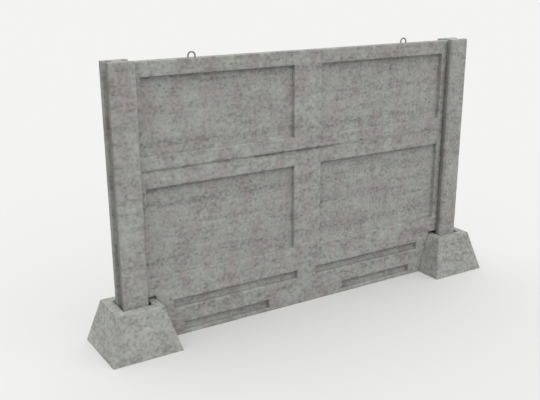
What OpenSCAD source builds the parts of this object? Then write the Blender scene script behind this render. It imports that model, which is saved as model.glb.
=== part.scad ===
// One bay of a precast concrete fence wall: two grooved posts standing in the pockets of two
// pyramid footings, with two stacked panels slotted between them and a mortar bed in the joint.
// Millimetres. X runs along the wall, the decorated side faces -Y, Z is up, and the origin is
// on the ground midway between the posts.

/* [Bay] */
// Distance between the centre lines of the two posts
post_spacing = 4000; // [3000:10:5000]

/* [Footing] */
// Length of the footing's base along the wall
footing_base_x = 715; // [620:5:800]
// Width of the footing's base across the wall
footing_base_y = 730; // [650:5:900]
// Length of the footing's top along the wall
footing_top_x = 470; // [400:5:600]
// Width of the footing's top across the wall
footing_top_y = 465; // [420:5:620]
// Height of the footing
footing_h = 450; // [350:5:550]
// Thickness of concrete under the pocket
pocket_floor = 100; // [60:5:160]
// Gap between the post and the left end of the pocket
pocket_gap_left = 16; // [10:1:40]
// Gap between the post and the right end of the pocket
pocket_gap_right = 28; // [10:1:40]
// Gap between the post and each side of the pocket, across the wall
pocket_gap_y = 42; // [15:1:70]

/* [Post] */
// Width of the post along the wall
post_w = 255; // [220:5:320]
// Depth of the post across the wall
post_d = 215; // [200:5:280]
// Height of the post's top above the ground
post_top = 2750; // [2600:5:3200]
// Thickness of the web between the two grooves
web_t = 90; // [60:5:140]
// Width of each groove, which takes the panel's end
groove_w = 110; // [102:1:130]

/* [Panels] */
// Thickness of both panels
panel_t = 100; // [80:1:101]
// Height of the lower panel, from the ground
lower_panel_h = 1715; // [1650:5:1800]
// Height of the upper panel
upper_panel_h = 1005; // [950:5:1100]
// Gap between each panel's end and the post's web
end_gap = 30; // [10:1:50]
// Gap between the notched corner of the lower panel and the top of the footing
notch_gap_z = 34; // [10:1:60]
// Gap between the notched corner of the lower panel and the sloping side of the footing
notch_gap_x = 2; // [2:1:20]

/* [Recesses] */
// Depth of every recess in the panels' faces
recess_depth = 43; // [10:1:45]
// Width of the middle stile between the large fields
stile_w = 335; // [200:5:500]
// Width of each large field
field_w = 1645; // [1400:5:1680]
// Height of the upper panel's fields
upper_field_h = 730; // [600:5:800]
// Band between the upper panel's fields and its top
upper_field_drop = 140; // [80:5:160]
// Height of the lower panel's fields
lower_field_h = 895; // [700:5:950]
// Band between the lower panel's fields and its top
lower_field_drop = 155; // [80:5:200]
// Height of the long and the short slot near the ground
slot_h = 90; // [60:5:110]
// Length of the long slot
long_slot_l = 1463; // [1200:1:1500]
// Distance of the long slot from the middle of the panel
long_slot_x = 118; // [80:1:200]
// Height of the long slot's lower edge above the ground
long_slot_z = 300; // [280:1:400]
// Length of the short slot
short_slot_l = 984; // [800:1:1050]
// Distance of the short slot from the middle of the panel
short_slot_x = 485; // [400:1:520]
// Height of the short slot's lower edge above the ground
short_slot_z = 40; // [30:1:100]

/* [Joint] */
// Thickness of the mortar bed between the panels
mortar_t = 15; // [6:1:20]
// Depth to which the mortar is washed out along the open stretch of the joint
washed_depth = 16; // [5:1:30]
// Length of the flush stretch of the joint, from the right-hand end of the panels
flush_l = 1500; // [200:10:3000]

/* [Lifting loops] */
// Diameter of the loop's bar
bar_d = 16; // [10:1:20]
// Outer width of the loop
loop_w = 88; // [70:1:120]
// Height of the loop above the panel
loop_rise = 60; // [46:1:90]
// Length of the loop's legs inside the panel
loop_embed = 100; // [40:5:120]
// Distance between the two loops
loop_spacing = 2550; // [2000:10:3000]

/* [Hidden] */
$fn = 48;

concrete = [0.60, 0.60, 0.57];
footing_concrete = [0.65, 0.65, 0.61];
mortar = [0.52, 0.52, 0.49];
steel = [0.45, 0.45, 0.44];

pocket_x = post_w + pocket_gap_left + pocket_gap_right;
pocket_y = post_d + 2 * pocket_gap_y;
post_h = post_top - pocket_floor;
flange_t = (post_d - groove_w) / 2;
groove_depth = (post_w - web_t) / 2;

panel_l = post_spacing - web_t - 2 * end_gap;
panel_back = groove_w / 2;
panel_front = panel_back - panel_t;
upper_panel_z = lower_panel_h + mortar_t;
upper_panel_top = upper_panel_z + upper_panel_h;

footing_slope = (footing_base_x - footing_top_x) / 2 / footing_h;
notch_z = footing_h + notch_gap_z;
notch_foot_x = post_spacing / 2 - footing_base_x / 2 - notch_gap_x;
notch_top_x = notch_foot_x + footing_slope * notch_z;

upper_field_z = upper_panel_top - upper_field_drop - upper_field_h;
lower_field_z = lower_panel_h - lower_field_drop - lower_field_h;

loop_y = (panel_front + panel_back) / 2;
loop_r = (loop_w - bar_d) / 2;
loop_leg = loop_rise - loop_r - bar_d / 2;

// Copies its children to the post's place at one end: side is -1 on the left and 1 on the right.
module at_post(side) {
    translate([side * post_spacing / 2, 0, 0]) children();
}

// Copies its children to both halves of a panel, mirrored about its middle.
module both_halves() {
    for (side = [0, 1])
        mirror([side, 0, 0]) children();
}

// Footing: a block with four sloping sides and a rectangular pocket, which lies further to the
// right of the post than to its left.
module footing() {
    bx = footing_base_x / 2;
    by = footing_base_y / 2;
    tx = footing_top_x / 2;
    ty = footing_top_y / 2;
    difference() {
        polyhedron(
            points = [[-bx, -by, 0], [bx, -by, 0], [bx, by, 0], [-bx, by, 0],
                      [-tx, -ty, footing_h], [tx, -ty, footing_h],
                      [tx, ty, footing_h], [-tx, ty, footing_h]],
            faces = [[0, 1, 2, 3], [7, 6, 5, 4], [0, 4, 5, 1],
                     [1, 5, 6, 2], [2, 6, 7, 3], [3, 7, 4, 0]]);
        translate([-post_w / 2 - pocket_gap_left, -pocket_y / 2, pocket_floor])
            cube([pocket_x, pocket_y, footing_h]);
    }
}

// Post: an H-section with a groove down each end, standing on the pocket's floor.
module post() {
    translate([0, 0, pocket_floor])
        linear_extrude(post_h)
            difference() {
                square([post_w, post_d], center = true);
                for (side = [-1, 1])
                    translate([side * (web_t + groove_depth) / 2, 0])
                        square([groove_depth, groove_w], center = true);
            }
}

// One recess sunk into the panel's front face, given by its lower corner, length and height.
module recess(x, z, l, h) {
    translate([x, panel_front, z])
        cube([l, recess_depth, h]);
}

// Lower panel: its bottom corners are notched to clear the footings.
module panel_lower() {
    half = panel_l / 2;
    color(concrete)
        difference() {
            translate([0, panel_back, 0])
                rotate([90, 0, 0])
                    linear_extrude(panel_t)
                        polygon([[-notch_foot_x, 0], [notch_foot_x, 0], [notch_top_x, notch_z],
                                 [half, notch_z], [half, lower_panel_h], [-half, lower_panel_h],
                                 [-half, notch_z], [-notch_top_x, notch_z]]);
            both_halves() {
                recess(stile_w / 2, lower_field_z, field_w, lower_field_h);
                recess(long_slot_x, long_slot_z, long_slot_l, slot_h);
                recess(short_slot_x, short_slot_z, short_slot_l, slot_h);
            }
        }
}

// Upper panel: a plain slab with two fields, cast around the legs of the lifting loops.
module panel_upper() {
    color(concrete)
        difference() {
            translate([-panel_l / 2, panel_front, upper_panel_z])
                cube([panel_l, panel_t, upper_panel_h]);
            both_halves() {
                recess(stile_w / 2, upper_field_z, field_w, upper_field_h);
                loop_legs(loop_embed + 1);
            }
        }
}

// Mortar bed: flush with the panels' faces on the right, washed out along the rest.
module mortar_bed() {
    color(mortar)
        translate([0, 0, lower_panel_h]) {
            translate([-panel_l / 2, panel_front + washed_depth, 0])
                cube([panel_l - flush_l, panel_t - 2 * washed_depth, mortar_t]);
            translate([panel_l / 2 - flush_l, panel_front, 0])
                cube([flush_l, panel_t, mortar_t]);
        }
}

// The two straight legs of the right-hand loop, from inside the panel to its top face.
module loop_legs(top) {
    for (side = [-1, 1])
        translate([loop_spacing / 2 + side * loop_r, loop_y, upper_panel_top - loop_embed])
            cylinder(d = bar_d, h = top);
}

// Lifting loop: a bent bar with a round arch on two legs that are cast into the panel.
module lifting_loop() {
    color(steel) {
        loop_legs(loop_embed + loop_leg);
        translate([loop_spacing / 2, loop_y, upper_panel_top + loop_leg])
            rotate([90, 0, 0])
                rotate_extrude(angle = 180)
                    translate([loop_r, 0])
                        circle(d = bar_d);
    }
}

module footing_left() {
    color(footing_concrete) at_post(-1) footing();
}

module footing_right() {
    color(footing_concrete) at_post(1) footing();
}

module post_left() {
    color(concrete) at_post(-1) post();
}

module post_right() {
    color(concrete) at_post(1) post();
}

module lifting_loop_left() {
    mirror([1, 0, 0]) lifting_loop();
}

module lifting_loop_right() {
    lifting_loop();
}

footing_left();
footing_right();
post_left();
post_right();
panel_lower();
panel_upper();
mortar_bed();
lifting_loop_left();
lifting_loop_right();
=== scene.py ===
"""One bay of a precast concrete fence wall, dressed around its packed construction model.

Each piece is a closed surface worked out with numpy from the box of the part that it stands for.
Metres. X runs along the wall, the decorated side faces -Y, and Z is up.
"""

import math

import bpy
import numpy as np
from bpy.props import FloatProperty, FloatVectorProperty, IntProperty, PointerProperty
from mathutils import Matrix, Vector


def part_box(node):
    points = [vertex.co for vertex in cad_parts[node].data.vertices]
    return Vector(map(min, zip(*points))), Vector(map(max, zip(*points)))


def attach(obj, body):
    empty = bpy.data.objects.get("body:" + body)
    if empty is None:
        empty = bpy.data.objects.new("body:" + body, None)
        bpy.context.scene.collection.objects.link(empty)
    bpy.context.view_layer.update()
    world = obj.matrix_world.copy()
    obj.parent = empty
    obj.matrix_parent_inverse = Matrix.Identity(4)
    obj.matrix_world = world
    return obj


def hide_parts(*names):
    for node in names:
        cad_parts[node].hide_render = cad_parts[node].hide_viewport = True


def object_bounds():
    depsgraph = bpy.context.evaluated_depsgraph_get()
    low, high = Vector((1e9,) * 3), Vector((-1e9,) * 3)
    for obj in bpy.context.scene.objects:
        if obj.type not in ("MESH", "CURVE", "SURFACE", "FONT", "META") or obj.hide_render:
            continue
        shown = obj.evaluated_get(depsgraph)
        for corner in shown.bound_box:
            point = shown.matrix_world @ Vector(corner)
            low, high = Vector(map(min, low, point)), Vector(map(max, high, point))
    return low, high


bl_info = {
    "name": "Precast Concrete Wall Bay",
    "version": (1, 0, 0),
    "blender": (4, 5, 0),
    "location": "3D View > Sidebar > Concrete Wall",
    "description": "Builds one bay of a precast concrete wall",
    "category": "Add Mesh",
}

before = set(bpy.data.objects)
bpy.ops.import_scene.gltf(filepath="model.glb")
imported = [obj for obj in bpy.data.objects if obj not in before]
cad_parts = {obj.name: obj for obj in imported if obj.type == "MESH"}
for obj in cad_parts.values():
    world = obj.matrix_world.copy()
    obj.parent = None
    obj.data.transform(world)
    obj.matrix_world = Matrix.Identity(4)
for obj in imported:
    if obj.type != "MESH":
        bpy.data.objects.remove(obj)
cad_low, cad_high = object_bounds()

BODY = "root"
SHARP_ANGLE = math.radians(32)
FLOOR_GAP = 0.0002

# What each piece adds to the wear seed, so that no two are worn alike.
OWN_SEED = {
    "upper_panel": 0, "lower_panel": 10, "left_post": 21, "right_post": 31,
    "left_footing": 41, "right_footing": 51, "joint": 61, "left_loop": 64, "right_loop": 74,
}

# Wear: noise cells, the hollows' share, the chips' spread, and 1 - max|n| midway round an arris.
HOLLOW_CELL, DENT_CELL, CHIP_CELL = 0.34, 0.11, 0.055
HOLLOW_SHARE = 0.65
CHIP_GAIN, CHIP_START = 1.6, 0.75
ARRIS_BEND = 0.29

# Joint: noise cells, the coarse noise's share, the spread of both, the least that stays open, the
# length over which the pointing starts, and how far the mortar fills the arrises.
COARSE_CELL, FINE_CELL = 0.14, 0.03
COARSE_SHARE = 0.6
OPEN_GAIN, OPEN_START, LEAST_OPEN = 2.8, 0.8, 0.15
POINTING_FADE = 0.030
FLARE_SHARE = 0.8

# Posts: the fall of the painted shade on the flanges' ends from groove to face, and the strength
# of the painted shade along one post's front edge.
FLANGE_FADE = 0.35
EDGE_SHADE = 0.55

# Footings: radius of the top's outer edge in arrises, and the flat share of the pocket's floor.
RIM_ARRISES = 1.6
FLAT_MIDDLE = 0.5

# Loops: rings on each leg and round the arch, sides of the bar, and the waste in its radius.
LEG_RINGS, ARCH_RINGS, BAR_SIDES = 12, 33, 20
WASTED_SHARE, WASTED_CELL = 0.03, 0.012

# Finishes: shades as places on a ramp and factors of its tone, strength of the dark specks, how
# far mottling breaks up the painted shade and soiling, and the concrete's roughness.
CONCRETE_SHADES = ((0.0, 0.42), (0.36, 0.76), (0.5, 1.0), (0.64, 1.17), (1.0, 1.55))
MORTAR_SHADES = ((0.1, 0.55), (0.5, 1.0), (0.9, 1.40))
STAIN_STRENGTH = 0.62
DARKENING_BREAKUP = 0.8
LEAST_ROUGHNESS, ROUGHNESS_GAIN = 0.78, 0.18


# ---- sizes and colours

def length(name, description, default):
    """A size in metres that the user can change."""
    return FloatProperty(name=name, description=description, default=default, min=0.0,
                         unit="LENGTH", subtype="DISTANCE", precision=4)


def angle(name, description, degrees):
    """An angle that the user can change."""
    return FloatProperty(name=name, description=description, default=math.radians(degrees),
                         unit="ROTATION", subtype="ANGLE")


def colour(name, description, default):
    """A linear colour that the user can change."""
    return FloatVectorProperty(name=name, description=description, default=default, size=3,
                               min=0.0, max=1.0, subtype="COLOR")


def share(name, description, default, high=1.0):
    """A plain number without a unit."""
    return FloatProperty(name=name, description=description, default=default, min=0.0, max=high)


class PanelSizes(bpy.types.PropertyGroup):
    """Fields and slots of both panels, and notches of the lower one"""

    recess_depth: length("Recess depth", "Depth of every field and slot", 0.043)
    stile_w: length("Stile width", "Width of the band between the two fields", 0.335)
    field_w: length("Field width", "Width of each large field", 1.645)
    upper_field_h: length("Upper field height", "Height of the upper panel's fields", 0.730)
    upper_field_drop: length("Upper band", "Band over the upper panel's fields", 0.140)
    lower_field_h: length("Lower field height", "Height of the lower panel's fields", 0.895)
    lower_field_drop: length("Lower band", "Band over the lower panel's fields", 0.155)
    slot_h: length("Slot height", "Height of every slot", 0.090)
    long_slot_l: length("Long slot length", "Length of the upper slot", 1.463)
    long_slot_x: length("Long slot start", "Upper slot's distance from the middle", 0.118)
    long_slot_z: length("Long slot height", "Height of the upper slot's lower edge", 0.300)
    short_slot_l: length("Short slot length", "Length of the lower slot", 0.984)
    short_slot_x: length("Short slot start", "Lower slot's distance from the middle", 0.485)
    short_slot_z: length("Short slot height", "Height of the lower slot's lower edge", 0.040)
    notch_z: length("Notch height", "Height of the notch round the footing", 0.484)
    notch_foot_x: length("Notch foot", "Notch's distance from the middle at its foot", 1.6405)
    notch_top_x: length("Notch top", "Notch's distance from the middle at its top", 1.7723)
    wall_angle: angle("Recess wall angle", "Steepness of the recess walls", 84.0)
    arris: length("Arris", "Radius of the panel's outer edges", 0.005)
    recess_arris: length("Recess arris", "Radius of the edges round each recess", 0.0035)


class PostSizes(bpy.types.PropertyGroup):
    """H-shaped posts"""

    web_t: length("Web", "Thickness between the grooves", 0.090)
    groove_w: length("Groove", "Width of each groove", 0.110)
    arris: length("Arris", "Radius of the post's outer edges", 0.006)
    groove_fillet: length("Groove fillet", "Radius of the grooves' inner corners", 0.004)


class FootingSizes(bpy.types.PropertyGroup):
    """Cup footings"""

    top_x: length("Top length", "Length of the top along the wall", 0.470)
    top_y: length("Top width", "Width of the top across the wall", 0.465)
    pocket_floor: length("Pocket floor", "Thickness of concrete under the pocket", 0.100)
    pocket_gap_left: length("Left gap", "Gap left of the post in its pocket", 0.016)
    pocket_gap_right: length("Right gap", "Gap right of the post in its pocket", 0.028)
    pocket_gap_y: length("Gap across", "Gap at each side of the post in its pocket", 0.042)
    arris: length("Arris", "Radius of the footing's edges", 0.007)


class JointSizes(bpy.types.PropertyGroup):
    """Mortar bed between the panels"""

    washed_depth: length("Washed depth", "Depth of the washed-out joint", 0.016)
    flush_depth: length("Flush depth", "Depth of the pointed joint's face", 0.0008)
    flush_l: length("Flush length", "Length of the pointed joint, from the right", 1.500)
    # Partly dirt, partly painted shade: these darken the open joint's mortar and the panel faces
    # over and under it.
    dirt_and_shade_reach: length("Dirt reach", "Height of the dirt over the joint", 0.017)
    dirt_and_shade: share("Joint dirt", "Dirt in and over the open joint", 0.37)
    drip_and_shade_reach: length("Drip reach", "Height of the dirt under the joint", 0.026)
    drip_and_shade: share("Drip dirt", "Dirt run down from the open joint", 0.90)
    flush_dirt_and_shade: share("Pointing dirt", "Dirt beside the pointed joint", 0.08)


class LoopSizes(bpy.types.PropertyGroup):
    """Lifting loops"""

    bar_d: length("Bar", "Diameter of the bent bar", 0.016)


class WearSizes(bpy.types.PropertyGroup):
    """Wear of the castings, and painted shade on their faces"""

    cell: length("Mesh cell", "Side of a mesh cell on the flat faces", 0.021)
    sag: length("Unevenness", "Depth of the long hollows in a cast face", 0.0012)
    chip: length("Chipping", "Depth of the chips in the edges", 0.0040)
    # These five shares paint shade, not dirt: they darken the flanges' ends and the recesses' side
    # walls, which face along X, and the faces that look up.
    flange_shade: share("Flange grime", "Dirt on the ends of the front flanges", 1.0)
    back_flange_shade: share("Back flange grime", "Dirt on the ends of the back flanges", 0.5)
    wall_shade: share("Wall grime", "Dirt on the recesses' side walls", 0.35)
    sill_shade: share("Sill grime", "Dirt on the panels' upward faces", 0.50)
    ledge_shade: share("Ledge grime", "Dirt on the posts' and footings' upward faces", 0.29)
    # Painted shade: a band down the left edge of one post's front, darkest at the edge.
    edge_shade_w: length("Streak width", "Width of the dirty streak down one post's front", 0.085)
    seed: IntProperty(name="Seed", description="Start of the wear pattern", default=7, min=0)


class Finishes(bpy.types.PropertyGroup):
    """Colours and tones"""

    concrete: colour("Concrete", "Middle grey of the cast faces", (0.392, 0.403, 0.3735))
    warm: colour("Warm tint", "Tint of the pinkish patches", (0.910, 0.840, 0.869))
    pits: colour("Pits", "Tint of the dark specks and pores", (0.58, 0.56, 0.53))
    # Tint of the painted shade on the castings' faces, and of the joint's dirt and painted shade.
    painted_shade_and_dirt: colour("Grime", "Tint of the dirtiest faces", (0.50, 0.50, 0.49))
    mortar: colour("Mortar", "Colour of the joint's mortar", (0.350, 0.352, 0.326))
    steel: colour("Steel", "Colour of the bars' mill scale", (0.300, 0.296, 0.285))
    rust: colour("Rust", "Colour of the rust on the bars", (0.225, 0.170, 0.130))
    mottling: share("Mottling", "Strength of the light and dark patches", 1.0, 3.0)
    panel_tone: share("Panel tone", "Lightness of the panels, from 0 to 1", 0.487)
    post_tone: share("Post tone", "Lightness of the posts, from 0 to 1", 0.495)
    footing_tone: share("Footing tone", "Lightness of the footings, from 0 to 1", 0.434)
    footing_pink: share("Footing pink", "Strength of the footings' pinkish patches", 0.5)
    board: length("Board", "Spacing of the form boards' level marks", 0.575)
    first_mark: length("First mark", "Height of the lowest board mark", 0.240)


class StageSizes(bpy.types.PropertyGroup):
    """Floor, light and camera"""

    floor_half: length("Floor", "Half the side of the floor", 150.0)
    floor_tone: colour("Floor tone", "Colour that the floor shows", (0.578, 0.578, 0.574))
    glow: share("Floor glow", "Share of what the floor shows that shadows don't darken", 0.23)
    bounce_tone: colour("Floor bounce", "Colour that the floor gives back", (0.250, 0.250, 0.246))
    sky: share("Dome light", "Strength of the white light from the horizon", 0.470, 5.0)
    zenith: share("Overhead light", "Strength that the dome gains towards the top", 1.620, 5.0)
    eye: FloatVectorProperty(name="Camera place", description="Where the camera stands",
                             default=(-4.4803, -6.6122, 3.5642), unit="LENGTH",
                             subtype="TRANSLATION", precision=4)
    tilt: angle("Camera tilt", "Camera's turn about X, where 90 looks level", 72.29)
    roll: angle("Camera roll", "Camera's turn about Y", -0.067)
    heading: angle("Camera heading", "Camera's turn about Z, where 0 looks along +Y", -32.609)
    lens: FloatProperty(name="Lens", description="Focal length in millimetres", default=52.14,
                        unit="CAMERA")
    shift_x: FloatProperty(name="Shift X", description="Sideways lens shift", default=-0.02885)
    shift_y: FloatProperty(name="Shift Y", description="Upward lens shift", default=0.02361)


# ---- shared shape functions

def lattice(i, j, k, seed):
    """A number from 0 to 1 for each point of a whole-number lattice, by mixing the bits of
    i * A + j * B + k * C + seed * D, with A to D large odd numbers."""
    bits = (i * 374761393 + j * 668265263 + k * 1442695041 + seed * 1274126177) & 0xFFFFFFFF
    bits = ((bits ^ (bits >> 13)) * 1274126177) & 0xFFFFFFFF
    return ((bits ^ (bits >> 16)) & 0xFFFFFF) / 0xFFFFFF


def noise(points, cell, seed):
    """Smooth noise from 0 to 1. Each point takes the lattice values at the eight corners of its
    cube of that cell size, weighted by w or 1 - w along each axis, with w = 3t^2 - 2t^3 and t the
    point's place in the cube."""
    scaled = points / cell
    base = np.floor(scaled).astype(np.int64)
    t = scaled - base
    w = t * t * (3 - 2 * t)
    total = np.zeros(points.shape[:-1])
    for corner in np.ndindex(2, 2, 2):
        weight = np.prod(np.where(corner, w, 1 - w), axis=-1)
        total += weight * lattice(*np.moveaxis(base + corner, -1, 0), seed)
    return total


def filled(keys, step):
    """The keys in order, with even values between them that are no further apart than step."""
    keys = np.unique(np.round(keys, 6))
    counts = np.maximum(1, np.ceil(np.diff(keys) / step - 1e-6))
    marks = np.append(0, np.cumsum(counts))
    return np.interp(np.arange(marks[-1] + 1), marks, keys)


def quarter_arc(radius, lines=3):
    """Section of a rounded edge, as distance in from the side and depth below the face:
    r (1 - sin a) and r (1 - cos a) for a from 90 degrees to 0."""
    a = np.linspace(math.pi / 2, 0, lines)
    return radius * (1 - np.sin(a)), radius * (1 - np.cos(a))


def sunk_edge(depth, steepness, radius, lines=3):
    """Section of a recess edge, as distance inside the outline and depth below the face. The upper
    arc is r sin a - r tan(s / 2) and r (1 - cos a) for a from 0 to the wall's steepness s, and the
    lower arc is the same turned about the middle of the wall."""
    a = np.linspace(0, steepness, lines)
    inside = radius * (np.sin(a) - math.tan(steepness / 2))
    down = radius * (1 - np.cos(a))
    run = depth / math.tan(steepness)
    return np.append(inside, (run - inside)[::-1]), np.append(down, (depth - down)[::-1])


def eased(corners, radii, step, closed=False, lines=4):
    """Points along a polyline with rounded corners. Each corner P becomes the curve
    (1-t)^2 A + 2t(1-t) P + t^2 B, with A and B at the corner's radius before and after it, and
    the straight runs between the curves are divided evenly."""
    corners = np.asarray(corners, float)
    last = len(corners) if closed else len(corners) - 1
    bends = []
    for at, radius in enumerate(radii):
        if not closed and at in (0, last):
            bends.append(corners[at:at + 1])
            continue
        before = corners[at - 1] - corners[at]
        after = corners[(at + 1) % len(corners)] - corners[at]
        start = corners[at] + before / np.linalg.norm(before) * radius
        end = corners[at] + after / np.linalg.norm(after) * radius
        t = np.linspace(0, 1, lines)[:, None]
        bends.append((1 - t) ** 2 * start + 2 * t * (1 - t) * corners[at] + t ** 2 * end)
    runs = []
    for at in range(last):
        start = bends[at][-1]
        end = bends[(at + 1) % len(bends)][0]
        count = max(1, math.ceil(np.linalg.norm(end - start) / step))
        t = np.linspace(0, 1, count, endpoint=False)[1:, None]
        runs.append(bends[at])
        runs.append(start + (end - start) * t)
    if not closed:
        runs.append(bends[-1])
    return np.concatenate(runs)


def normals(points, quads):
    """Unit normal of each point: the sum, made one long, of the cross products of its quads'
    diagonals."""
    p = points[quads]
    area = np.cross(p[:, 2] - p[:, 0], p[:, 3] - p[:, 1])
    total = np.zeros_like(points)
    for axis in range(3):
        spread = np.repeat(area[:, axis], 4)
        total[:, axis] = np.bincount(quads.ravel(), spread, minlength=len(points))
    size = np.linalg.norm(total, axis=1, keepdims=True)
    return total / np.maximum(size, 1e-12)


def worn(points, n, wear, low, high, seed):
    """Moves each point inwards along its normal n and keeps it in the box from low to high. The
    depth is sag times long noise, plus chip times the peaks of short noise on the edges, where an
    edge is told by 1 - max|n|, which is 0 on a flat face."""
    hollow = noise(points, HOLLOW_CELL, seed) * HOLLOW_SHARE
    hollow += noise(points, DENT_CELL, seed + 1) * (1 - HOLLOW_SHARE)
    edge = np.clip((1 - np.abs(n).max(axis=1)) / ARRIS_BEND, 0, 1)
    chips = np.clip(noise(points, CHIP_CELL, seed + 2) * CHIP_GAIN - CHIP_START, 0, 1)
    depth = wear.sag * hollow + wear.chip * chips * edge
    return np.clip(points - n * depth[:, None], low, high)


def upward_shade(n, most):
    """Share of painted shade on upward faces, from the normals n: the most that they get, times
    n's Z.
    """
    return most * np.maximum(n[:, 2], 0)


def strip_edges(quads):
    """The directed edges of a sheet of quads that no other quad runs along the other way."""
    a = quads.ravel()
    b = np.roll(quads, -1, axis=1).ravel()
    count = quads.max() + 1
    forward = a * count + b
    alone = ~np.isin(forward, b * count + a)
    return a[alone], b[alone]


def slab(across, up, keep, front, back, steps):
    """A closed slab. across and up are X and Z on a grid, keep says which cells are solid, and
    front and back are Y. Each loose edge of the front sheet is joined to the same edge of the back
    sheet by a strip of quads whose points are (1-t) front + t back."""
    rows, columns = across.shape
    index = np.arange(rows * columns).reshape(rows, columns)
    cells = np.stack([index[:-1, :-1], index[:-1, 1:], index[1:, 1:], index[1:, :-1]], axis=-1)
    used, sheet = np.unique(cells[keep], return_inverse=True)
    sheet = sheet.reshape(-1, 4)
    x, z = across.ravel()[used], up.ravel()[used]
    near = np.stack([x, front.ravel()[used], z], axis=-1)
    far = np.stack([x, back.ravel()[used], z], axis=-1)
    start, end = strip_edges(sheet)
    rim = np.unique(start)
    t = (np.arange(1, steps) / steps)[:, None, None]
    between = ((1 - t) * near[rim] + t * far[rim]).reshape(-1, 3)
    added = 2 * len(used) + np.arange(len(between)).reshape(steps - 1, -1)
    layers = [rim, *added, rim + len(used)]
    a, b = np.searchsorted(rim, start), np.searchsorted(rim, end)
    sides = [np.stack([lo[b], lo[a], hi[a], hi[b]], axis=-1) for lo, hi in zip(layers, layers[1:])]
    quads = np.concatenate([sheet, sheet[:, ::-1] + len(used), *sides])
    return np.concatenate([near, far, between]), quads


def skin(rings):
    """A closed surface through a stack of closed rings: quads between neighbouring rings, and the
    first and the last ring closed by one flat face each."""
    count, around = rings.shape[:2]
    index = np.arange(count * around).reshape(count, around)
    following = np.roll(index, -1, axis=1)
    quads = np.stack([index[:-1], following[:-1], following[1:], index[1:]], axis=-1)
    caps = [index[0, ::-1].tolist(), index[-1].tolist()]
    return rings.reshape(-1, 3), quads.reshape(-1, 4), caps


def make_piece(name, points, quads, caps, material, node, painted_shade_and_dirt=None):
    """Puts a finished surface into the scene in place of its CAD node. painted_shade_and_dirt is
    the share of painted shade and soiling at each point, which the materials read as an attribute."""
    mesh = bpy.data.meshes.new(name)
    mesh.from_pydata(points.tolist(), [], quads.tolist() + caps)
    if painted_shade_and_dirt is not None:
        mesh.attributes.new("painted_shade_and_dirt", "FLOAT", "POINT").data.foreach_set("value", painted_shade_and_dirt)
    mesh.polygons.foreach_set("use_smooth", np.ones(len(mesh.polygons), bool))
    mesh.set_sharp_from_angle(angle=SHARP_ANGLE)
    mesh.materials.append(material)
    mesh.update()
    piece = bpy.data.objects.new(name, mesh)
    bpy.context.scene.collection.objects.link(piece)
    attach(piece, BODY)
    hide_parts(node)


def node_box(node):
    """Lowest and highest corner of a CAD node, as arrays."""
    low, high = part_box(node)
    return np.array(low), np.array(high)


def own_seed(wear, piece):
    """Start of one piece's wear."""
    return wear.seed + OWN_SEED[piece]


def both_ends(wear, piece, node):
    """Name, CAD node, seed and box of a piece that stands at both ends of the wall."""
    for side in ("left", "right"):
        name, cad = f"{side}_{piece}", f"{node}_{side}"
        yield name, cad, own_seed(wear, name), *node_box(cad)


# ---- panels

def recess_rows(shapes):
    """Outlines x0, z0, x1, z1 of the recesses on both halves, from those of the right half."""
    right = np.array(shapes)
    left = right[:, [2, 1, 0, 3]] * [-1, 1, -1, 1]
    return np.concatenate([left, right])


def upper_recesses(sizes, panel_top):
    """The upper panel's two fields."""
    start = sizes.stile_w / 2
    top = panel_top - sizes.upper_field_drop
    return recess_rows([[start, top - sizes.upper_field_h, start + sizes.field_w, top]])


def lower_recesses(sizes, panel_top):
    """The lower panel's two fields, two long slots and two short slots."""
    start = sizes.stile_w / 2
    top = panel_top - sizes.lower_field_drop
    return recess_rows([
        [start, top - sizes.lower_field_h, start + sizes.field_w, top],
        [sizes.long_slot_x, sizes.long_slot_z,
         sizes.long_slot_x + sizes.long_slot_l, sizes.long_slot_z + sizes.slot_h],
        [sizes.short_slot_x, sizes.short_slot_z,
         sizes.short_slot_x + sizes.short_slot_l, sizes.short_slot_z + sizes.slot_h],
    ])


def open_joint(x, joint_end, sizes, seed):
    """How open the joint is at each x. Noise along X is spread up to 1, and where the pointed
    stretch starts it fades to 0 as 1 - 3t^2 + 2t^3."""
    line = np.stack([x, np.zeros_like(x), np.zeros_like(x)], axis=-1)
    left_over = noise(line, COARSE_CELL, seed) * COARSE_SHARE
    left_over += noise(line, FINE_CELL, seed + 1) * (1 - COARSE_SHARE)
    t = np.clip((x - joint_end + sizes.flush_l) / POINTING_FADE + 0.5, 0, 1)
    open_share = np.clip(OPEN_GAIN * left_over - OPEN_START, LEAST_OPEN, 1)
    return open_share * (1 - t * t * (3 - 2 * t))


def joint_dirt_and_shade(points, joint_low, joint_high, sizes, seed):
    """Share of soiling and painted shade in and beside the joint. It follows the open joint, down
    to the pointing's own share, and falls evenly to 0 over its reach from the mortar. Under the
    joint, soiling run down from it and painted shade have their own strength and reach."""
    above = points[:, 2] - joint_high[2]
    below = joint_low[2] - points[:, 2]
    under = below > 0
    reach = np.where(under, sizes.drip_and_shade_reach, sizes.dirt_and_shade_reach)
    near = np.clip(1 - np.maximum(above, below) / reach, 0, 1)
    most = np.where(under, sizes.drip_and_shade, sizes.dirt_and_shade)
    most = most * open_joint(points[:, 0], joint_high[0], sizes, seed)
    return near * np.maximum(most, sizes.flush_dirt_and_shade)


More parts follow.
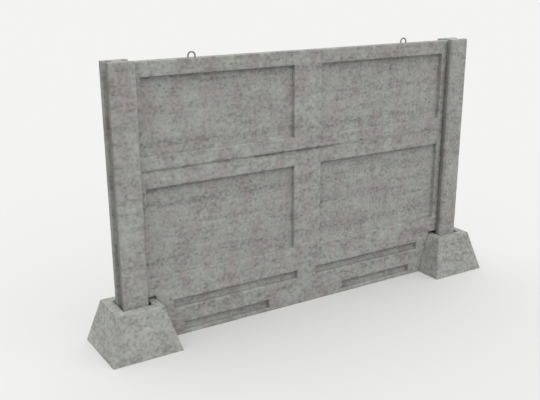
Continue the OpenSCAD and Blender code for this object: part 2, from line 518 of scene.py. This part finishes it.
def panel_surface(sizes, wear, low, high, recesses, notched, seed):
    """A panel as a closed slab. The front's depth at (x, z) is a rounded step of the distance
    inside a recess outline, plus a quarter arc of the distance to the panel's own edge. Beside a
    notch the outer columns slide inwards along its slope."""
    inside, sunk = sunk_edge(sizes.recess_depth, sizes.wall_angle, sizes.recess_arris)
    inset, dropped = quarter_arc(sizes.arris)
    x_keys = [low[0] + inset, high[0] - inset]
    z_keys = [low[2] + inset, high[2] - inset]
    for x0, z0, x1, z1 in recesses:
        x_keys += [x0 + inside, x1 - inside]
        z_keys += [z0 + inside, z1 - inside]
    slope = (sizes.notch_top_x - sizes.notch_foot_x) / sizes.notch_z
    if notched:
        x_keys += [sizes.notch_top_x - inset, inset - sizes.notch_top_x]
        z_keys += [sizes.notch_z + inset]
    u = filled(np.concatenate(x_keys), wear.cell)
    v = filled(np.concatenate(z_keys), wear.cell)
    across, up = np.meshgrid(u, v)
    keep = np.ones((len(v) - 1, len(u) - 1), bool)
    if notched:
        still = sizes.long_slot_x + sizes.long_slot_l + 2 * sizes.recess_arris
        moving = sizes.notch_top_x - 2 * sizes.arris
        beside = np.clip((np.abs(across) - still) / (moving - still), 0, 1)
        edge_x = sizes.notch_foot_x + slope * up
        across = across + np.sign(across) * beside * np.minimum(edge_x - sizes.notch_top_x, 0)
        middle_u = (u[:-1] + u[1:]) / 2
        middle_v = (v[:-1] + v[1:]) / 2
        under = (middle_v < sizes.notch_z)[:, None]
        keep = ~(under & (np.abs(middle_u) > sizes.notch_top_x))
    margin = np.minimum(high[0] - np.abs(across), np.minimum(up - low[2], high[2] - up))
    if notched:
        lean = (sizes.notch_foot_x + slope * up - np.abs(across)) / math.hypot(1, slope)
        margin = np.minimum(margin, np.maximum(up - sizes.notch_z, lean))
    rounding = np.interp(margin, inset, dropped)
    depth = rounding.copy()
    for x0, z0, x1, z1 in recesses:
        reach = np.minimum(np.minimum(across - x0, x1 - across), np.minimum(up - z0, z1 - up))
        depth += np.interp(reach, inside, sunk)
    points, quads = slab(across, up, keep, low[1] + depth, high[1] - rounding, steps=4)
    n = normals(points, quads)
    # Painted shade: darker on the recesses' side walls, by the normal's X, and on faces that look
    # up.
    painted_shade_and_dirt = wear.wall_shade * np.abs(n[:, 0]) + upward_shade(n, wear.sill_shade)
    return worn(points, n, wear, low, high, seed), quads, painted_shade_and_dirt


# ---- posts, footings, joint, loops

def post_surface(sizes, wear, low, high, edge_shaded, seed):
    """An H-shaped outline, whose halves are the same turned round, carried up Z. It is set in by r
    (1 - cos a) at r (1 - sin a) under the top, for a from 0 to 90 degrees. Painted shade lies on
    the flanges' ends, where the normal's X is large, and falls evenly from groove to face. On the
    post with a shaded edge, painted shade also fades from the front's left edge as (1 - t)^2, with
    t the distance as a share of the shaded band's width."""
    middle = (low + high) / 2
    half_w, half_d = (high - low)[:2] / 2
    web, groove = sizes.web_t / 2, sizes.groove_w / 2
    corners = np.array([(-half_w, -half_d), (half_w, -half_d), (half_w, -groove), (web, -groove),
                        (web, groove), (half_w, groove)])
    corners = np.concatenate([corners, -corners])
    outer, inner = sizes.arris, sizes.groove_fillet
    radii = [outer, outer, outer, inner, inner, outer] * 2
    outline = eased(corners, radii, wear.cell, closed=True, lines=3)
    tangent = np.roll(outline, -1, axis=0) - np.roll(outline, 1, axis=0)
    away = np.stack([tangent[:, 1], -tangent[:, 0]], axis=-1)
    away /= np.linalg.norm(away, axis=1, keepdims=True)
    inset, dropped = quarter_arc(sizes.arris)
    heights = filled(np.concatenate([[low[2]], high[2] - inset]), wear.cell)
    shrink = np.interp(high[2] - heights, inset, dropped)
    rings = np.empty((len(heights), len(outline), 3))
    rings[..., :2] = middle[:2] + outline - away * shrink[:, None, None]
    rings[..., 2] = heights[:, None]
    points, quads, caps = skin(rings)
    n = normals(points, quads)
    from_middle = points[:, 1] - middle[1]
    outward = (np.abs(from_middle) - groove) / (half_d - groove)
    most = np.where(from_middle < 0, wear.flange_shade, wear.back_flange_shade)
    on_flange = np.abs(from_middle) > groove + inner
    # Painted shade on the flanges' ends and on faces that look up.
    painted_shade_and_dirt = most * (1 - FLANGE_FADE * outward) * np.abs(n[:, 0]) * on_flange
    painted_shade_and_dirt += upward_shade(n, wear.ledge_shade)
    # Painted shade along the left edge of one post's front.
    if edge_shaded:
        t = np.clip((points[:, 0] - low[0]) / wear.edge_shade_w, 0, 1)
        painted_shade_and_dirt += np.maximum(-n[:, 1], 0) * EDGE_SHADE * (1 - t) ** 2
    return worn(points, n, wear, low, high, seed), quads, caps, np.minimum(painted_shade_and_dirt, 1)


def rounded_square(count, lines=2):
    """Outline of a rounded square in two parts: stay, the unit square's own points, and turn, the
    unit arc at each corner. A rectangle with half sides h and corner radius r is
    stay * (h - r) + turn * r. One side makes four by quarter turns, as complex numbers."""
    along = np.linspace(-1, 1, count)
    a = np.linspace(0, math.pi / 2, lines + 2)[1:-1]
    stay = np.concatenate([along - 1j, np.full(lines, 1 - 1j)])
    turn = np.concatenate([np.full(count, -1j), np.sin(a) - 1j * np.cos(a)])
    stay = np.concatenate([stay * 1j ** quarter for quarter in range(4)])
    turn = np.concatenate([turn * 1j ** quarter for quarter in range(4)])
    return (np.stack([part.real, part.imag], axis=-1) for part in (stay, turn))


def footing_surface(sizes, wear, low, high, post_low, post_high, seed):
    """Rounded rectangles carried up the outer slope, over the rim, down the pocket and over its
    floor. The half sides, the height and the shift along X follow one rounded polyline."""
    middle = (low + high) / 2
    base = (high - low)[:2] / 2
    top = np.array([sizes.top_x, sizes.top_y]) / 2
    gap_x = (sizes.pocket_gap_left + sizes.pocket_gap_right) / 2
    shift = (sizes.pocket_gap_right - sizes.pocket_gap_left) / 2
    pocket = (post_high - post_low)[:2] / 2 + [gap_x, sizes.pocket_gap_y]
    floor = low[2] + sizes.pocket_floor
    corners = [[*base, low[2], 0], [*top, high[2], 0], [*pocket, high[2], shift],
               [*pocket, floor, shift], [*(pocket * FLAT_MIDDLE), floor, shift]]
    radii = [0, RIM_ARRISES * sizes.arris, sizes.arris, sizes.arris, 0]
    path = eased(corners, radii, wear.cell, lines=4)
    count = math.ceil(2 * base.max() / wear.cell)
    stay, turn = rounded_square(count)
    rings = np.empty((len(path), len(stay), 3))
    rings[..., :2] = middle[:2] + stay * (path[:, None, :2] - sizes.arris) + turn * sizes.arris
    rings[..., 0] += path[:, None, 3]
    rings[..., 2] = path[:, None, 2]
    points, quads, caps = skin(rings)
    n = normals(points, quads)
    # Painted shade on faces that look up.
    painted_shade_and_dirt = upward_shade(n, wear.ledge_shade)
    return worn(points, n, wear, low, high, seed), quads, caps, painted_shade_and_dirt


def mortar_surface(sizes, wear, low, high, panel_arris, seed):
    """A rectangle carried along X. It lies back from the panels' faces by the washed depth times
    the root of how open the joint is, and by the flush depth at least. Near the faces it widens
    into the space that the panels' arrises leave."""
    x = filled([low[0], high[0] - sizes.flush_l, high[0]], wear.cell / 2)
    washed = sizes.washed_depth * np.sqrt(open_joint(x, high[0], sizes, seed))
    back_off = np.maximum(washed, sizes.flush_depth)
    stay, _ = rounded_square(6)
    side = stay[:, 0]
    half = (high[1] - low[1]) / 2 - back_off
    y = (low[1] + high[1]) / 2 + side * half[:, None]
    from_face = np.minimum(y - low[1], high[1] - y)
    flare = np.maximum(panel_arris - from_face, 0) * FLARE_SHARE
    z = (low[2] + high[2]) / 2 + stay[:, 1] * ((high[2] - low[2]) / 2 + flare)
    rings = np.stack([np.broadcast_to(x[:, None], y.shape), y, z], axis=-1)
    return skin(rings)


def loop_surface(sizes, low, high, seed):
    """A circle carried up one leg, over a half circle and down the other leg. The bar's radius
    shrinks with noise along the path."""
    bar = sizes.bar_d / 2
    middle = (low + high) / 2
    arch = (high[0] - low[0]) / 2 - bar
    spring = high[2] - bar - arch
    legs = np.linspace(low[2], spring, LEG_RINGS, endpoint=False)
    a = np.linspace(0, math.pi, ARCH_RINGS)
    leg = np.full(LEG_RINGS, arch)
    offset = np.concatenate([leg, arch * np.cos(a), -leg])
    height = np.concatenate([legs, spring + arch * np.sin(a), legs[::-1]])
    path = np.stack([middle[0] + offset, np.full_like(offset, middle[1]), height], axis=-1)
    tangent = np.gradient(path, axis=0)
    tangent /= np.linalg.norm(tangent, axis=1, keepdims=True)
    sideways = np.array([0.0, 1.0, 0.0])
    outward = np.cross(tangent, sideways)
    radius = bar * (1 - WASTED_SHARE * noise(path, WASTED_CELL, seed))
    b = np.linspace(0, 2 * math.pi, BAR_SIDES, endpoint=False)[:, None]
    spin = sideways * np.cos(b) + outward[:, None, :] * np.sin(b)
    rings = path[:, None, :] + spin * radius[:, None, None]
    return skin(rings)


# ---- materials

class Recipe:
    """The node tree of a new material or world, with one short call for each node."""

    def __init__(self, owner, cleared=False):
        owner.use_nodes = True
        self.owner = owner
        self.tree = owner.node_tree
        if cleared:
            self.tree.nodes.clear()

    def add(self, kind, sockets, output=0, **settings):
        """Adds a node, fills its sockets and gives back one of its outputs."""
        node = self.tree.nodes.new(kind)
        for key, value in settings.items():
            setattr(node, key, value)
        for key, value in sockets.items():
            self.fill(node.inputs[key], value)
        return node.outputs[output]

    def fill(self, socket, value):
        """Links an output to a socket, or sets the socket to a plain value."""
        if isinstance(value, bpy.types.NodeSocket):
            self.tree.links.new(value, socket)
        else:
            socket.default_value = value

    def coordinates(self, offset, scale=(1.0, 1.0, 1.0)):
        """The piece's own coordinates, moved and stretched."""
        own = self.add("ShaderNodeTexCoord", {}, output="Object")
        return self.add("ShaderNodeMapping", {"Vector": own, "Location": offset, "Scale": scale})

    def cloud(self, vector, scale, detail=2.0, roughness=0.5):
        """Soft noise around 0.5 with that many cells to the metre."""
        sockets = {"Vector": vector, "Scale": scale, "Detail": detail, "Roughness": roughness}
        return self.add("ShaderNodeTexNoise", sockets, output="Fac")

    def math(self, operation, *values):
        """One sum on numbers."""
        return self.add("ShaderNodeMath", dict(enumerate(values)), operation=operation)

    def weigh(self, total, value, weight):
        """total + weight * (value - 0.5)."""
        centred = self.math("SUBTRACT", value, 0.5)
        return self.math("MULTIPLY_ADD", centred, weight, total)

    def band(self, value, low, high):
        """0 under low, 1 over high, smooth between them."""
        sockets = {"Value": value, "From Min": low, "From Max": high}
        return self.add("ShaderNodeMapRange", sockets, interpolation_type="SMOOTHSTEP")

    def blend(self, factor, first, second, mode="MIX"):
        """A mix of two colours, which are the Mix node's sockets 6 and 7."""
        sockets = {0: factor, 6: first, 7: second}
        return self.add("ShaderNodeMix", sockets, output=2, data_type="RGBA", blend_type=mode)

    def marks(self, vector, spacing, first, reach):
        """1 on level lines a spacing apart and 0 at the reach from them. The height over the first
        line, wrapped to half a spacing on both sides, is the distance to a line."""
        height = self.add("ShaderNodeSeparateXYZ", {"Vector": vector}, output="Z")
        over = self.math("SUBTRACT", height, first)
        nearest = self.math("WRAP", over, spacing / 2, -spacing / 2)
        return self.band(self.math("ABSOLUTE", nearest), reach, 0.0)

    def ramp(self, value, tone, shades):
        """A colour ramp through shades of one tone. Each shade is a place on the ramp and what the
        tone is multiplied by there."""
        node = self.tree.nodes.new("ShaderNodeValToRGB")
        self.tree.links.new(value, node.inputs[0])
        elements = node.color_ramp.elements
        while len(elements) < len(shades):
            elements.new(0.5)
        for element, (at, factor) in zip(elements, shades):
            element.position = at
            element.color = (*(min(1.0, part * factor) for part in tone), 1.0)
        return node.outputs["Color"]

    def specks(self, vector, scale, reach, rarity, core=0.35, blur=0.15):
        """Round specks in the middle of some Voronoi cells: 1 within the core, which is a share of
        the reach, and 0 past it. A cell has one where its random number passes the rarity."""
        distance = self.add("ShaderNodeTexVoronoi", {"Vector": vector, "Scale": scale},
                            output="Distance")
        near = self.band(distance, reach, reach * core)
        tint = distance.node.outputs["Color"]
        draw = self.add("ShaderNodeSeparateColor", {"Color": tint})
        return self.math("MULTIPLY", near, self.band(draw, rarity, rarity + blur))

    def shaded_and_dirtied(self, base, finishes, strength):
        """The base colour darkened by the piece's own attribute of painted shade and soiling,
        times a strength.
        """
        dirt_and_shade = self.add("ShaderNodeAttribute", {}, output="Fac", attribute_name="painted_shade_and_dirt")
        dirt_and_shade = self.math("MULTIPLY", dirt_and_shade, strength)
        return self.blend(dirt_and_shade, base, (*finishes.painted_shade_and_dirt, 1.0), "MULTIPLY")

    def finish(self, base, roughness, height, relief, sheen=0.5, metal=0.0):
        """Joins the finish to the material's shader, and gives back the material."""
        bump = self.add("ShaderNodeBump", {"Height": height, "Strength": 1.0, "Distance": relief})
        shader = self.tree.nodes["Principled BSDF"]
        sockets = {"Base Color": base, "Roughness": roughness, "Normal": bump,
                   "Specular IOR Level": sheen, "Metallic": metal}
        for name, value in sockets.items():
            self.fill(shader.inputs[name], value)
        return self.owner

    def eye_rays(self):
        """1 for rays from the camera and for mirrored and transmitted ones, otherwise 0."""
        camera = self.add("ShaderNodeLightPath", {}, output="Is Camera Ray")
        kinds = camera.node.outputs
        either = self.math("MAXIMUM", camera, kinds["Is Glossy Ray"])
        return self.math("MAXIMUM", either, kinds["Is Transmission Ray"])

    def show(self, given, seen, output):
        """Joins what lights the object and what the eye sees to a new output."""
        mix = self.add("ShaderNodeMixShader", {0: self.eye_rays(), 1: given, 2: seen})
        self.fill(self.tree.nodes.new(output).inputs["Surface"], mix)


def concrete_material(name, finishes, offset, tone, pink=1.0, boards=0.0):
    """Cast concrete. Its lightness is a tone plus level lifts of 0.6 by 0.25 m, the dark level
    marks of a form's boards, patches of 0.12 m, blotches of 70 by 40 mm, mottling of 30 mm, grain
    of 9 mm and level lines. Pinkish patches of 0.17 by 0.3 m, dark pores, level dashes and the
    piece's own painted shade and soiling lie over it. Grain, mottling and pores give the relief."""
    recipe = Recipe(bpy.data.materials.new(name))
    own = recipe.coordinates(offset)
    lifts = recipe.coordinates(offset, (1.6, 1.6, 4.0))
    drawn = recipe.coordinates(offset, (2.2, 2.2, 12.0))
    level = recipe.coordinates(offset, (1.0, 1.0, 2.4))
    wide = recipe.coordinates(offset, (1.0, 1.0, 1.7))
    tall = recipe.coordinates(offset, (1.5, 1.5, 0.8))
    grain = recipe.cloud(own, scale=110.0, detail=2.0, roughness=0.6)
    mottle = recipe.cloud(own, scale=32.0, detail=0.0)
    lines = recipe.cloud(drawn, scale=1.0, detail=2.0)
    marks = recipe.marks(own, finishes.board, finishes.first_mark, reach=0.070)
    marks = recipe.math("MULTIPLY", marks, boards)
    layers = (
        (recipe.cloud(lifts, scale=1.0, detail=0.0), 0.10),
        (marks, -0.05),
        (recipe.cloud(own, scale=8.5, detail=1.0), 0.20),
        (recipe.cloud(wide, scale=14.0, detail=1.0), 0.30),
        (mottle, 0.37),
        (grain, 0.10),
        (lines, 0.30),
    )
    light = tone
    for layer, weight in layers:
        light = recipe.weigh(light, layer, weight * finishes.mottling)
    base = recipe.ramp(light, finishes.concrete, CONCRETE_SHADES)
    patches = recipe.cloud(tall, scale=4.0, detail=3.0, roughness=0.6)
    warm = recipe.math("MULTIPLY", recipe.band(patches, low=0.38, high=0.65), pink)
    base = recipe.blend(warm, base, (*finishes.warm, 1.0), mode="MULTIPLY")
    pores = recipe.specks(own, scale=30.0, reach=0.30, rarity=0.72)
    holes = recipe.specks(own, scale=11.0, reach=0.16, rarity=0.60)
    dashes = recipe.specks(level, scale=17.0, reach=0.48, rarity=0.45)
    rows = recipe.math("MAXIMUM", recipe.band(lines, low=0.55, high=0.42), marks)
    dashes = recipe.math("MULTIPLY", dashes, rows)
    dark = recipe.math("MAXIMUM", pores, holes)
    stain = recipe.math("MAXIMUM", dark, dashes)
    stain = recipe.math("MULTIPLY", stain, STAIN_STRENGTH)
    base = recipe.blend(stain, base, (*finishes.pits, 1.0), mode="MULTIPLY")
    # Painted shade and soiling from the piece's attribute, broken up by mottling.
    base = recipe.shaded_and_dirtied(base, finishes, recipe.weigh(1.0, mottle, DARKENING_BREAKUP))
    rough = recipe.band(light, low=1.0, high=0.0)
    rough = recipe.math("MULTIPLY_ADD", rough, ROUGHNESS_GAIN, LEAST_ROUGHNESS)
    height = recipe.math("MULTIPLY_ADD", grain, 0.5, recipe.math("MULTIPLY", mottle, 0.5))
    height = recipe.math("SUBTRACT", height, dark)
    return recipe.finish(base, rough, height, relief=0.0012, sheen=0.25)


def mortar_material(name, finishes):
    """Mortar: sandy grain of 4 mm and patches of 60 mm round one tone, darkened by the joint's
    soiling and painted shade.
    """
    recipe = Recipe(bpy.data.materials.new(name))
    own = recipe.coordinates((3.1, 1.7, 0.4))
    sand = recipe.cloud(own, scale=160.0, detail=3.0, roughness=0.7)
    light = recipe.weigh(0.5, recipe.cloud(own, scale=14.0), weight=0.45)
    light = recipe.weigh(light, sand, weight=0.50)
    base = recipe.ramp(light, finishes.mortar, MORTAR_SHADES)
    base = recipe.shaded_and_dirtied(base, finishes, 1.0)
    rough = recipe.band(sand, low=-3.0, high=1.0)
    return recipe.finish(base, rough, sand, relief=0.0014, sheen=0.2)


def steel_material(name, finishes):
    """Weathered bar: mill scale with rust where soft noise of 20 mm is high."""
    recipe = Recipe(bpy.data.materials.new(name))
    own = recipe.coordinates((0.3, 0.8, 1.9))
    blotches = recipe.cloud(own, scale=55.0, detail=3.0, roughness=0.6)
    rusty = recipe.band(blotches, low=0.48, high=0.68)
    pitting = recipe.cloud(own, scale=420.0, detail=2.0, roughness=0.6)
    base = recipe.blend(rusty, (*finishes.steel, 1.0), (*finishes.rust, 1.0))
    rough = recipe.math("MULTIPLY_ADD", rusty, 0.30, 0.50)
    return recipe.finish(base, rough, pitting, relief=0.0005, metal=0.35)


# ---- operators

class PRECAST_OT_panels(bpy.types.Operator):
    """Builds the upper and the lower panel"""

    bl_idname = "precast.panels"
    bl_label = "Panels"

    def execute(self, context):
        scene = context.scene
        sizes, wear = scene.precast_panels, scene.precast_wear
        finish = scene.precast_finishes
        material = concrete_material("panel_concrete", finish, (0.0, 0.0, 0.0), finish.panel_tone,
                                     boards=1.0)
        joint = node_box("mortar_bed")
        joint_seed = own_seed(wear, "joint")
        for name, node, outlines, notched in (
                ("upper_panel", "panel_upper", upper_recesses, False),
                ("lower_panel", "panel_lower", lower_recesses, True)):
            low, high = node_box(node)
            recesses = outlines(sizes, high[2])
            points, quads, painted_shade_and_dirt = panel_surface(sizes, wear, low, high, recesses, notched,
                                                 own_seed(wear, name))
            # Soiling and painted shade in and beside the open joint.
            dirt_and_shade = joint_dirt_and_shade(points, *joint, scene.precast_joint, joint_seed)
            painted_shade_and_dirt = np.maximum(painted_shade_and_dirt, dirt_and_shade)
            make_piece(name, points, quads, [], material, node, painted_shade_and_dirt)
        return {"FINISHED"}


class PRECAST_OT_posts(bpy.types.Operator):
    """Builds the two grooved posts"""

    bl_idname = "precast.posts"
    bl_label = "Posts"

    def execute(self, context):
        scene = context.scene
        sizes, wear = scene.precast_posts, scene.precast_wear
        finish = scene.precast_finishes
        material = concrete_material("post_concrete", finish, (5.2, 1.3, 0.7), finish.post_tone)
        for name, node, seed, low, high in both_ends(wear, "post", "post"):
            edge_shaded = name == "right_post"
            points, quads, caps, painted_shade_and_dirt = post_surface(sizes, wear, low, high, edge_shaded, seed)
            make_piece(name, points, quads, caps, material, node, painted_shade_and_dirt)
        return {"FINISHED"}


class PRECAST_OT_footings(bpy.types.Operator):
    """Builds the two cup footings"""

    bl_idname = "precast.footings"
    bl_label = "Footings"

    def execute(self, context):
        scene = context.scene
        sizes, wear = scene.precast_footings, scene.precast_wear
        finish = scene.precast_finishes
        material = concrete_material("footing_concrete", finish, (2.7, 4.9, 3.3),
                                     finish.footing_tone, finish.footing_pink)
        for name, node, seed, low, high in both_ends(wear, "footing", "footing"):
            post = node_box(node.replace("footing", "post"))
            points, quads, caps, painted_shade_and_dirt = footing_surface(sizes, wear, low, high, *post, seed)
            make_piece(name, points, quads, caps, material, node, painted_shade_and_dirt)
        return {"FINISHED"}


class PRECAST_OT_mortar(bpy.types.Operator):
    """Builds the mortar bed between the panels"""

    bl_idname = "precast.mortar"
    bl_label = "Mortar bed"

    def execute(self, context):
        scene = context.scene
        sizes, wear = scene.precast_joint, scene.precast_wear
        low, high = node_box("mortar_bed")
        arris = scene.precast_panels.arris
        seed = own_seed(wear, "joint")
        points, quads, caps = mortar_surface(sizes, wear, low, high, arris, seed)
        # Soiling and painted shade in the open joint.
        painted_shade_and_dirt = joint_dirt_and_shade(points, low, high, sizes, seed)
        material = mortar_material("joint_mortar", scene.precast_finishes)
        make_piece("joint_bed", points, quads, caps, material, "mortar_bed", painted_shade_and_dirt)
        return {"FINISHED"}


class PRECAST_OT_loops(bpy.types.Operator):
    """Builds the two lifting loops"""

    bl_idname = "precast.loops"
    bl_label = "Lifting loops"

    def execute(self, context):
        scene = context.scene
        material = steel_material("loop_steel", scene.precast_finishes)
        for name, node, seed, low, high in both_ends(scene.precast_wear, "loop", "lifting_loop"):
            points, quads, caps = loop_surface(scene.precast_loops, low, high, seed)
            make_piece(name, points, quads, caps, material, node)
        return {"FINISHED"}


def open_tone(stage):
    """What the open floor shows: its tone times the light on a level face, which a dome of
    strength sky + zenith * sin(height) brings to sky + zenith * 2/3."""
    level = stage.sky + stage.zenith * 2 / 3
    return (*(part * level for part in stage.floor_tone), 1.0)


def pale_floor_material(stage):
    """A floor that gives one tone back to the object and shows another to the eye, partly as its
    own glow at the level of the open floor, so that shadows on it stay pale."""
    recipe = Recipe(bpy.data.materials.new("pale_floor"), cleared=True)
    lit = recipe.add("ShaderNodeBsdfDiffuse", {"Color": (*stage.floor_tone, 1.0)})
    glow = recipe.add("ShaderNodeEmission", {"Color": open_tone(stage)})
    seen = recipe.add("ShaderNodeMixShader", {0: stage.glow, 1: lit, 2: glow})
    given = recipe.add("ShaderNodeBsdfDiffuse", {"Color": (*stage.bounce_tone, 1.0)})
    recipe.show(given, seen, "ShaderNodeOutputMaterial")
    return recipe.owner


def dome_light(scene, stage):
    """A white dome of strength sky + zenith * sin(height), which the eye sees as open floor."""
    recipe = Recipe(bpy.data.worlds.new("dome"), cleared=True)
    direction = recipe.add("ShaderNodeTexCoord", {}, output="Generated")
    height = recipe.add("ShaderNodeSeparateXYZ", {"Vector": direction}, output="Z")
    above = recipe.math("MAXIMUM", height, 0.0)
    strength = recipe.math("MULTIPLY_ADD", above, stage.zenith, stage.sky)
    white = (1.0, 1.0, 1.0, 1.0)
    given = recipe.add("ShaderNodeBackground", {"Color": white, "Strength": strength})
    seen = recipe.add("ShaderNodeBackground", {"Color": open_tone(stage)})
    recipe.show(given, seen, "ShaderNodeOutputWorld")
    scene.world = recipe.owner


class PRECAST_OT_stage(bpy.types.Operator):
    """Builds the floor, the light and the camera"""

    bl_idname = "precast.stage"
    bl_label = "Stage"

    def execute(self, context):
        scene = context.scene
        stage = scene.precast_stage
        half = stage.floor_half
        low = cad_low.z - FLOOR_GAP
        mesh = bpy.data.meshes.new("floor")
        corners = [(-half, -half, low), (half, -half, low), (half, half, low), (-half, half, low)]
        mesh.from_pydata(corners, [], [(0, 1, 2, 3)])
        mesh.materials.append(pale_floor_material(stage))
        floor = bpy.data.objects.new("floor", mesh)
        scene.collection.objects.link(floor)
        dome_light(scene, stage)
        data = bpy.data.cameras.new("camera")
        data.lens = stage.lens
        data.shift_x = stage.shift_x
        data.shift_y = stage.shift_y
        data.clip_end = 2 * half
        camera = bpy.data.objects.new("camera", data)
        camera.location = stage.eye
        camera.rotation_euler = (stage.tilt, stage.roll, stage.heading)
        scene.collection.objects.link(camera)
        scene.camera = camera
        scene.view_settings.view_transform = "Standard"
        return {"FINISHED"}


class PRECAST_PT_sidebar(bpy.types.Panel):
    """Lists the sizes and colours, with a button for each piece"""

    bl_idname = "PRECAST_PT_sidebar"
    bl_label = "Concrete Wall Bay"
    bl_space_type = "VIEW_3D"
    bl_region_type = "UI"
    bl_category = "Concrete Wall"

    def draw(self, context):
        for group in GROUPS:
            box = self.layout.box()
            box.label(text=GROUPS[group].__doc__)
            if group in OPERATORS:
                box.operator(OPERATORS[group].bl_idname)
            sizes = getattr(context.scene, group)
            for name in sizes.__annotations__:
                box.prop(sizes, name)


GROUPS = {
    "precast_panels": PanelSizes,
    "precast_posts": PostSizes,
    "precast_footings": FootingSizes,
    "precast_joint": JointSizes,
    "precast_loops": LoopSizes,
    "precast_wear": WearSizes,
    "precast_finishes": Finishes,
    "precast_stage": StageSizes,
}
OPERATORS = {
    "precast_stage": PRECAST_OT_stage,
    "precast_panels": PRECAST_OT_panels,
    "precast_posts": PRECAST_OT_posts,
    "precast_footings": PRECAST_OT_footings,
    "precast_joint": PRECAST_OT_mortar,
    "precast_loops": PRECAST_OT_loops,
}
CLASSES = (*GROUPS.values(), *OPERATORS.values(), PRECAST_PT_sidebar)


def register():
    """Makes the classes and the scene's settings known to Blender."""
    for item in CLASSES:
        bpy.utils.register_class(item)
    for name, group in GROUPS.items():
        setattr(bpy.types.Scene, name, PointerProperty(type=group))


def unregister():
    """Takes the settings and the classes away again."""
    for name in GROUPS:
        delattr(bpy.types.Scene, name)
    for item in reversed(CLASSES):
        bpy.utils.unregister_class(item)


def main():
    """Builds the stage and every piece."""
    register()
    bpy.ops.precast.stage()
    bpy.ops.precast.panels()
    bpy.ops.precast.posts()
    bpy.ops.precast.footings()
    bpy.ops.precast.mortar()
    bpy.ops.precast.loops()


if __name__ == "__main__":
    main()
